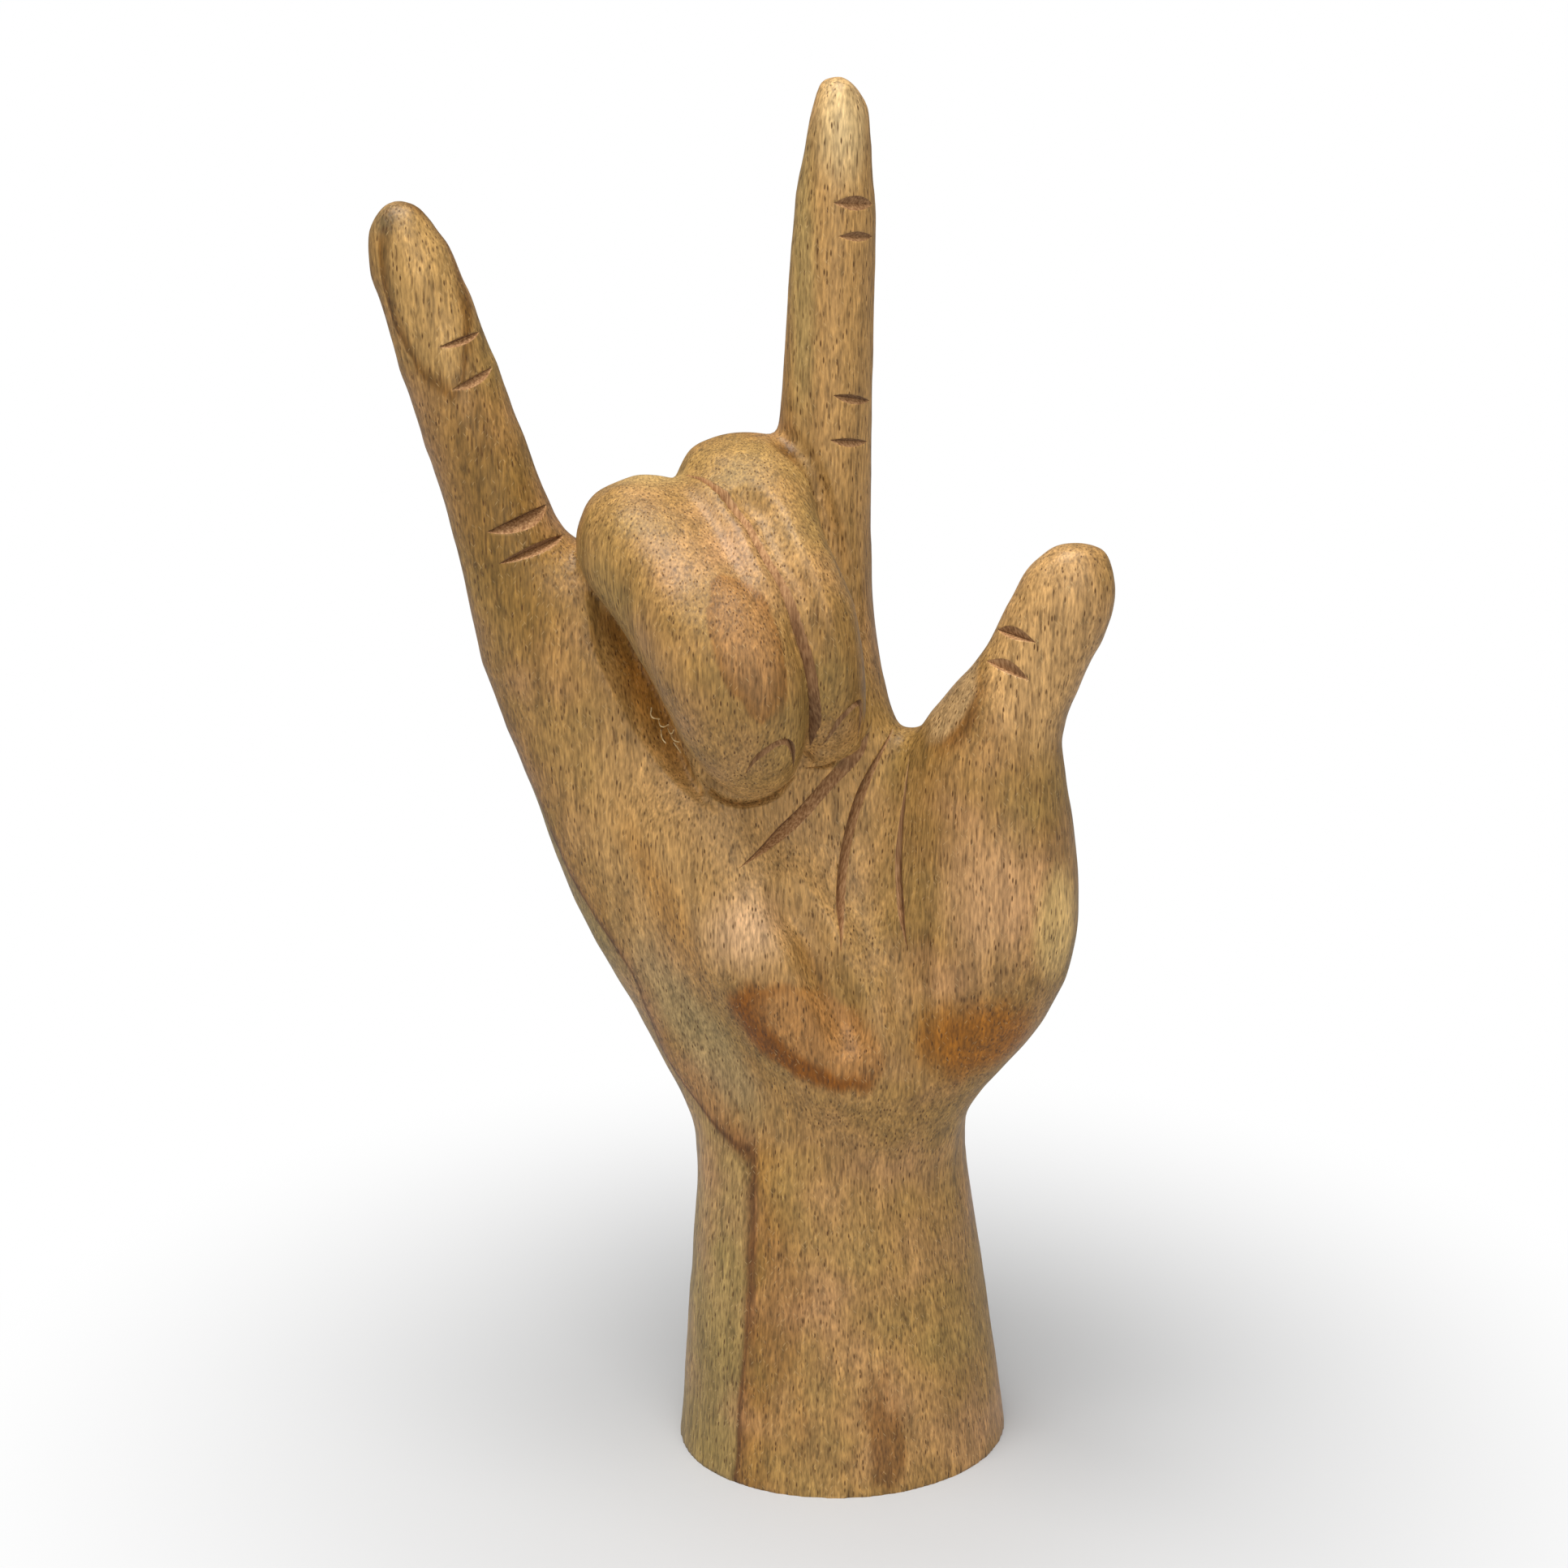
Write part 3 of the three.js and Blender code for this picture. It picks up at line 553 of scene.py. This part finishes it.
growth += [(0.42, "#8d6630"), (0.50, "#94703c"), (0.62, "#977240"), (0.80, "#93703c"), (1.0, "#8f6b38")]
color = add(tree, "ValToRGB", {"Fac": share}, stops=growth)["Color"]
blotch = add(tree, "TexNoise", {"Vector": mm, "Scale": 1 / 22, "Detail": 2.0})["Fac"]
pink = add(tree, "MapRange", {"Value": blotch, "From Min": 0.5, "From Max": 0.75, "To Max": 0.6})[0]
color = add(tree, "MixRGB", {"Fac": pink, "Color1": color, "Color2": linear("#ab7f56")})["Color"]
olive = add(tree, "MapRange", {"Value": blotch, "From Min": 0.5, "From Max": 0.28, "To Max": 0.5})[0]
color = add(tree, "MixRGB", {"Fac": olive, "Color1": color, "Color2": linear("#86703a")})["Color"]
print("growth line at", round(GROWTH_LINE * DEEPEST, 1), "mm through the layers")

# %% [markdown]
# ## Figures in the wood
# Where a pad or a fingertip swells through the layers, an oval figure shows, and some places are stained.
# Some of the same eggs paint light and shade instead: painted highlights on tops and pads, and painted shade
# in valleys.
# Steeper layers would give ovals too, but not where the picture has them, so each is an egg-shaped place in
# the wood with a colour; its edge is ragged along the grain. An oval with a dark rim is two eggs, the
# second a little smaller and paler.

# %% Figures
RAGGED = 0.4
ragged = add(tree, "VectorMath", {0: mm, 1: (0.25, 0.25, 0.06)}, operation="MULTIPLY")[0]
ragged = add(tree, "TexNoise", {"Vector": ragged, "Scale": 1.0, "Detail": 3.0})["Fac"]


def wood_stain_and_painted_light(color, code, centre, radii, tilt=0, strength=1.0, soft=0.5, rough=RAGGED):
    placing = {"Vector": mm, "Location": centre, "Rotation": (0, radians(tilt), 0), "Scale": radii}
    inside = add(tree, "Mapping", placing, vector_type="TEXTURE")[0]
    reach = add(tree, "VectorMath", {0: inside}, operation="LENGTH")["Value"]
    reach = add(tree, "Math", {0: ragged, 1: rough, 2: reach}, operation="MULTIPLY_ADD")[0]
    edge = 1 + rough / 2
    spread = {"Value": reach, "From Min": edge, "From Max": edge - soft, "To Max": strength}
    amount = add(tree, "MapRange", spread, interpolation_type="SMOOTHSTEP")[0]
    return add(tree, "MixRGB", {"Fac": amount, "Color1": color, "Color2": linear(code)})["Color"]


# Palm: paler all over, an olive strip along the growth line, a golden band beside it, and pinker pads with a
# painted highlight.
color = wood_stain_and_painted_light(color, "#aa834e", (-25, -18, 150), (46, 24, 42), strength=0.9, soft=0.5)
color = wood_stain_and_painted_light(color, "#9d885e", (-32, -15, 103), (10, 14, 38), tilt=-36, strength=0.6, soft=0.7)
color = wood_stain_and_painted_light(color, "#9c6b28", (-39, -20, 135), (6, 14, 28), tilt=-27, strength=0.5, soft=0.8)
# Painted highlight, pale pink, on the upper heel pad and on the ball of the thumb.
color = wood_stain_and_painted_light(color, "#c9a074", (-22, -28, 131), (16, 12, 12), tilt=-30, strength=0.9, soft=0.9)
color = wood_stain_and_painted_light(color, "#ba8e60", (30, -29, 138), (16, 14, 23), strength=0.8, soft=0.8)
color = wood_stain_and_painted_light(color, "#c8a466", (44, -24, 131), (7, 12, 17), strength=0.9, soft=0.6)
color = wood_stain_and_painted_light(color, "#8c5404", (28, -25, 105), (18, 16, 14), strength=0.9, soft=0.6)

# Heel: a dark orange egg, and a paler one that leaves it as a crescent to the lower left.
color = wood_stain_and_painted_light(color, "#7a4604", (-8.7, -28, 106.3), (20.5, 18, 11), tilt=33, strength=1.0, soft=0.25)
color = wood_stain_and_painted_light(color, "#9c6f3c", (-5.4, -28, 107.8), (18.6, 18, 9), tilt=33, strength=0.95, soft=0.35)

# Groove: torn golden wood. Valley of the heel, and the corner by the index finger: painted shade, which also
# hides the sheen in the corner.
color = wood_stain_and_painted_light(color, "#a87430", (-41, -11, 178), (8, 12, 27), tilt=-21, strength=0.8, soft=0.8)
color = wood_stain_and_painted_light(color, "#80561f", (-7, -25, 121), (3, 10, 13), tilt=-29, strength=0.6, soft=0.9)
color = wood_stain_and_painted_light(color, "#5c3c14", (-12.5, -7, 228.5), (5, 6, 7), tilt=-38, strength=0.8, soft=0.9)

# Ring finger: a painted highlight, yellow, on its top, and an oval on its front. Middle finger: a painted
# highlight on its upper side.
color = wood_stain_and_painted_light(color, "#b8995f", (-42, -10, 224), (10, 14, 7), strength=0.6, soft=0.9)
color = wood_stain_and_painted_light(color, "#7a4c1c", (-21, -42, 197), (7.2, 12, 17.5), tilt=-16, strength=0.6, soft=0.12)
color = wood_stain_and_painted_light(color, "#956c3e", (-21, -42, 197), (6.7, 12, 16.5), tilt=-16, strength=0.8, soft=0.4)
color = wood_stain_and_painted_light(color, "#a17e4c", (-14, -27, 214), (9, 12, 15), strength=0.6, soft=0.8)

# Little finger: a long oval under its tip, darker wood below, and a grey spot on the tip.
color = wood_stain_and_painted_light(color, "#7a5925", (-72, -10, 212), (14, 16, 46), tilt=-18, strength=0.8, soft=0.7)
color = wood_stain_and_painted_light(color, "#64400f", (-86, -11, 262), (8.8, 14, 23), tilt=-12, strength=0.85, soft=0.1)
color = wood_stain_and_painted_light(color, "#a6824c", (-86, -11, 262), (8.2, 14, 22), tilt=-12, strength=0.9, soft=0.3)
color = wood_stain_and_painted_light(color, "#7d6440", (-94, -6, 277), (8, 10, 8), strength=0.7, soft=0.8)
color = wood_stain_and_painted_light(color, "#4c4028", (-94, -8, 275), (3, 4, 3.5), strength=0.7, soft=0.9)

# Index finger: paler, with a painted highlight at its tip, and olive on its left.
color = wood_stain_and_painted_light(color, "#aa824c", (-2, 0, 256), (13, 14, 68), strength=0.9, soft=0.3)
color = wood_stain_and_painted_light(color, "#8e7a4a", (-9.5, -4, 262), (4, 10, 48), strength=0.6, soft=0.7)
color = wood_stain_and_painted_light(color, "#cbae7c", (-2, -6, 294), (8, 10, 17), strength=0.85, soft=0.9)

# Thumb: paler, and a greyish strip towards the web with a brown edge.
color = wood_stain_and_painted_light(color, "#af8855", (40, -24, 192), (18, 14, 30), strength=0.9, soft=0.5)
color = wood_stain_and_painted_light(color, "#6c4318", (23.2, -14, 176.2), (5.2, 17, 14.2), tilt=28, strength=0.75, soft=0.35)
color = wood_stain_and_painted_light(color, "#a0835a", (21.8, -14, 177.8), (3.7, 16, 12.6), tilt=28, strength=0.8, soft=0.3)

# Foot: darker streaks.
color = wood_stain_and_painted_light(color, "#6b4213", (8.6, -29, 14), (6, 8, 16), strength=0.7, soft=0.6, rough=1.5)
color = wood_stain_and_painted_light(color, "#6b4213", (-14, -27, 40), (7, 10, 34), strength=0.35, soft=0.6, rough=2.0)

# The growth line is drawn once more, because it runs on through the stains. It is some 0.5 mm thick.
off_line = add(tree, "Math", {0: share, 1: GROWTH_LINE}, operation="SUBTRACT")[0]
off_line = add(tree, "Math", {0: off_line}, operation="ABSOLUTE")[0]
on_line = add(tree, "MapRange", {"Value": off_line, "From Min": 0.004, "From Max": 0.001, "To Max": 0.7})[0]
color = add(tree, "MixRGB", {"Fac": on_line, "Color1": color, "Color2": linear("#5c3a1a")})["Color"]
print("figures placed")

# %% [markdown]
# ## Grain
# The grain is upright. Long streaks and short fibres change the brightness. Both are noise that is
# stretched along the grain, because a wave pattern would repeat too evenly.

# %% Streaks and fibres
# Streaks are 2 mm wide and some 50 mm long. Fibres are 0.2 mm wide in the wood, and drawn 0.5 mm wide and
# 3 mm long, because finer ones vanish between the pixels.
streak_cells = add(tree, "VectorMath", {0: mm, 1: (0.5, 0.5, 0.02)}, operation="MULTIPLY")[0]
streak = add(tree, "TexNoise", {"Vector": streak_cells, "Scale": 1.0, "Detail": 3.0})["Fac"]
fibre_cells = add(tree, "VectorMath", {0: mm, 1: (2.0, 2.0, 0.33)}, operation="MULTIPLY")[0]
fibre = add(tree, "TexNoise", {"Vector": fibre_cells, "Scale": 1.0, "Detail": 2.0})["Fac"]
streak_light = add(tree, "Math", {0: streak, 1: 1.3, 2: 0.35}, operation="MULTIPLY_ADD")[0]
fibre_light = add(tree, "Math", {0: fibre, 1: 2.0, 2: 0.02}, operation="MULTIPLY_ADD")[0]
light = add(tree, "Math", {0: streak_light, 1: fibre_light}, operation="MULTIPLY")[0]
color = add(tree, "HueSaturation", {"Value": light, "Color": color})["Color"]
print("streaks and fibres ready")

# %% [markdown]
# ## Pores and scratches
# Open pores are dark dashes, and sanding has left pale scratches across them. They could be cut into the
# mesh, but there are thousands, so each is the middle of a stretched Voronoi cell.

# %% Pores and scratches
# Pores are 0.2 mm wide and 1 to 2 mm long, drawn 0.35 mm wide for the same reason as the fibres. Longer
# vessels lie between.
pore_cells = add(tree, "VectorMath", {0: mm, 1: (1.5, 1.5, 0.36)}, operation="MULTIPLY")[0]
pore_near = add(tree, "TexVoronoi", {"Vector": pore_cells, "Scale": 1.0})
pore_shape = add(tree, "MapRange", {"Value": pore_near["Distance"], "From Min": 0.32, "From Max": 0.16})[0]
pore_kind = add(tree, "SeparateColor", {"Color": pore_near["Color"]})["Red"]
pore_dark = add(tree, "MapRange", {"Value": pore_kind, "From Min": 0.1, "From Max": 0.9, "To Max": 0.95})[0]
pore = add(tree, "Math", {0: pore_shape, 1: pore_dark}, operation="MULTIPLY")[0]
vessel_cells = add(tree, "VectorMath", {0: mm, 1: (0.9, 0.9, 0.1)}, operation="MULTIPLY")[0]
vessel_near = add(tree, "TexVoronoi", {"Vector": vessel_cells, "Scale": 1.0})["Distance"]
vessel = add(tree, "MapRange", {"Value": vessel_near, "From Min": 0.22, "From Max": 0.08, "To Max": 0.7})[0]
hole = add(tree, "Math", {0: pore, 1: vessel}, operation="MAXIMUM")[0]
color = add(tree, "MixRGB", {"Fac": hole, "Color1": color, "Color2": linear("#4f3010")})["Color"]

# Scratches are up to 1.4 mm long and cross the grain at 40 and 35 degrees.
for turn in (40, -35):
    across = add(tree, "VectorRotate", {"Vector": mm, "Axis": (0, 1, 0), "Angle": radians(turn)})[0]
    across = add(tree, "VectorMath", {0: across, 1: (1.5, 0.5, 0.25)}, operation="MULTIPLY")[0]
    near = add(tree, "TexVoronoi", {"Vector": across, "Scale": 1.0})["Distance"]
    scratch = add(tree, "MapRange", {"Value": near, "From Min": 0.17, "From Max": 0.08, "To Max": 0.3})[0]
    color = add(tree, "MixRGB", {"Fac": scratch, "Color1": color, "Color2": linear("#d2b27c")})["Color"]
tree.links.new(color, shader.inputs["Base Color"])
print("pores and scratches ready")

# %% [markdown]
# ## Satin
# Wax leaves a soft gloss that isn't the same everywhere, so the slow blotches move the roughness a little.
# Pores and fibres give the relief as a bump, because they are far finer than the mesh.

# %% Satin
polish = {"Value": blotch, "From Min": 0.3, "From Max": 0.7, "To Min": 0.52, "To Max": 0.4}
gloss = add(tree, "MapRange", polish)[0]
tree.links.new(gloss, shader.inputs["Roughness"])
shader.inputs["Specular IOR Level"].default_value = 0.3
height = add(tree, "Math", {0: fibre, 1: hole}, operation="SUBTRACT")[0]
bump = add(tree, "Bump", {"Strength": 0.5, "Distance": 0.15 * MM, "Height": height})[0]
tree.links.new(bump, shader.inputs["Normal"])
print("wood nodes:", len(tree.nodes))

# %% [markdown]
# ## Raw cuts
# Inside a knife cut the wood looks duller and pinker, with the same upright fibres. The colour also goes by
# the way that a face looks: faces that look down get painted shade, and faces that look up get painted light.

# %% Raw cuts
raw_cut.use_nodes = True
tree = raw_cut.node_tree
shader = tree.nodes["Principled BSDF"]
metres = add(tree, "TexCoord", {})["Object"]
fine = add(tree, "VectorMath", {0: metres, 1: (2200, 2200, 120)}, operation="MULTIPLY")[0]
fibre = add(tree, "TexNoise", {"Vector": fine, "Scale": 1.0, "Detail": 2.0})["Fac"]
raw_shades = [(0.3, "#684322"), (0.5, "#8a633c"), (0.7, "#a67e54")]
raw_color = add(tree, "ValToRGB", {"Fac": fibre}, stops=raw_shades)["Color"]
# Painted shade and light: darker where the normal points down, paler where it points up.
normal = add(tree, "NewGeometry", {})["Normal"]
upward = add(tree, "SeparateXYZ", {"Vector": normal})["Z"]
facing_light_range = {"Value": upward, "From Min": -0.6, "From Max": 0.6, "To Min": 0.6, "To Max": 1.35}
painted_shade_by_facing = add(tree, "MapRange", facing_light_range)[0]
raw_color = add(tree, "HueSaturation", {"Value": painted_shade_by_facing, "Color": raw_color})["Color"]
tree.links.new(raw_color, shader.inputs["Base Color"])
shader.inputs["Roughness"].default_value = 0.8
print("raw cut ready")

# %% [markdown]
# ## Torn fibres
# A few pale fibres stand up in the rough groove, as the knife left them. Hair strands aren't mesh, so each
# is a thin bent tube, made from a curve through three points and turned into a mesh.

# %% Torn fibres
torn_fibre = bpy.data.materials.new("torn_pale_wood_fibre")
torn_fibre.use_nodes = True
tree = torn_fibre.node_tree
shader = tree.nodes["Principled BSDF"]
metres = add(tree, "TexCoord", {})["Object"]
patch = add(tree, "TexNoise", {"Vector": metres, "Scale": 900.0})["Fac"]
pale_shades = [(0.35, "#b8955c"), (0.65, "#e0c894")]
tree.links.new(add(tree, "ValToRGB", {"Fac": patch}, stops=pale_shades)["Color"], shader.inputs["Base Color"])
shader.inputs["Roughness"].default_value = 0.85

FIBRE_RADIUS = 0.14
FIBRES = [
    [(-41.2, -14.0, 175.6), (-41.0, -15.6, 174.0), (-39.4, -15.8, 173.6)],
    [(-39.8, -13.6, 173.0), (-38.9, -15.6, 171.9), (-37.6, -15.4, 172.3)],
    [(-39.3, -13.4, 170.6), (-38.9, -15.4, 169.2), (-38.2, -15.9, 168.4)],
    [(-37.8, -13.8, 171.0), (-37.0, -15.4, 170.4), (-36.4, -15.2, 171.2)],
    [(-37.2, -13.8, 169.8), (-36.4, -15.6, 168.9), (-35.3, -15.7, 168.6)],
    [(-36.6, -14.2, 168.0), (-35.6, -16.0, 167.2), (-35.0, -16.3, 166.4)],
    [(-50.4, -12.0, 203.0), (-49.7, -14.6, 200.8), (-49.6, -15.2, 198.4)],
]


def fibre_tube(points):
    curve = bpy.data.curves.new("torn_fibre", "CURVE")
    curve.dimensions = "3D"
    curve.bevel_depth = FIBRE_RADIUS * MM
    curve.bevel_resolution = 1
    curve.use_fill_caps = True
    spline = curve.splines.new("BEZIER")
    spline.bezier_points.add(len(points) - 1)
    for knot, point in zip(spline.bezier_points, points):
        knot.co = Vector(point) * MM
        knot.handle_left_type = knot.handle_right_type = "AUTO"
    return show("torn_fibre", curve)


tubes = [fibre_tube(points) for points in FIBRES]
fibres = pick(*tubes)
bpy.ops.object.convert(target="MESH")
bpy.ops.object.join()
fibres.name = "torn_fibres"
fibres.data.materials.append(torn_fibre)
edit(fibres, bpy.ops.mesh.remove_doubles, threshold=0.001 * MM)
edit(fibres, bpy.ops.mesh.normals_make_consistent, inside=False)
pick(fibres)
bpy.ops.object.shade_smooth_by_angle(angle=radians(60))
print("torn fibres:", len(FIBRES), "with", len(fibres.data.polygons), "faces")

# %% [markdown]
# ## Floor and light
# The hand stands on white paper that keeps its soft shadow and fades into a plain white ground, which only
# the camera sees. A curved backdrop would do it too, but would show in the other views. The light is a
# large softbox overhead and a weak fill from the front.

# %% Stage
FLOOR_SIZE = 6.0
FADE_START = 0.05
FADE_END = 0.22
ROOM_LIGHT = 0.32

bpy.ops.mesh.primitive_plane_add(size=FLOOR_SIZE)
floor = bpy.context.object
floor.name = "floor"
paper = bpy.data.materials.new("white_paper")
floor.data.materials.append(paper)
paper.use_nodes = True
tree = paper.node_tree
shader = tree.nodes["Principled BSDF"]
shader.inputs["Base Color"].default_value = linear("#bfbfbf")
shader.inputs["Roughness"].default_value = 0.9
metres = add(tree, "TexCoord", {})["Object"]
away = add(tree, "VectorMath", {0: metres}, operation="LENGTH")["Value"]
fading = {"Value": away, "From Min": FADE_START, "From Max": FADE_END}
fade = add(tree, "MapRange", fading, interpolation_type="SMOOTHSTEP")[0]
seen = add(tree, "LightPath", {})["Is Camera Ray"]
amount = add(tree, "Math", {0: fade, 1: seen}, operation="MULTIPLY")[0]
ground = add(tree, "Emission", {"Color": (1, 1, 1, 1), "Strength": 1.0})[0]
mixed = add(tree, "MixShader", {0: amount, 1: shader.outputs[0], 2: ground})[0]
tree.links.new(mixed, tree.nodes["Material Output"].inputs["Surface"])


def lamp(name, place, target, size, power):
    bpy.ops.object.light_add(type="AREA", location=place)
    item = bpy.context.object
    item.name = name
    item.data.size = size
    item.data.energy = power
    item.rotation_euler = (Vector(target) - Vector(place)).to_track_quat("-Z", "Y").to_euler()
    return item


middle = (0, 0, 0.16)
lamp("overhead_softbox", (-0.2, -0.35, 1.4), middle, 1.0, 25)
lamp("front_fill", (0.3, -1.5, 0.8), middle, 1.2, 10)
world = bpy.context.scene.world or bpy.data.worlds.new("World")
bpy.context.scene.world = world
world.use_nodes = True
tree = world.node_tree
room = tree.nodes["Background"]
room.inputs["Color"].default_value = (1, 1, 1, 1)
room.inputs["Strength"].default_value = ROOM_LIGHT
backdrop = add(tree, "Background", {"Color": (1, 1, 1, 1), "Strength": 1.0})[0]
seen = add(tree, "LightPath", {})["Is Camera Ray"]
mixed = add(tree, "MixShader", {0: seen, 1: room.outputs[0], 2: backdrop})[0]
tree.links.new(mixed, tree.nodes["World Output"].inputs["Surface"])
bpy.context.scene.view_settings.view_transform = "Standard"
print("stage ready")

# %% [markdown]
# ## Handing over
# Each carved piece takes the place of its part, and nothing moves, so all pieces ride on the one body.

# %% Hand over
for node, piece in pieces.items():
    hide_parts(node)
for piece in (*pieces.values(), fibres):
    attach(piece, "root")
print("handing over", len(pieces) + 1, "pieces")
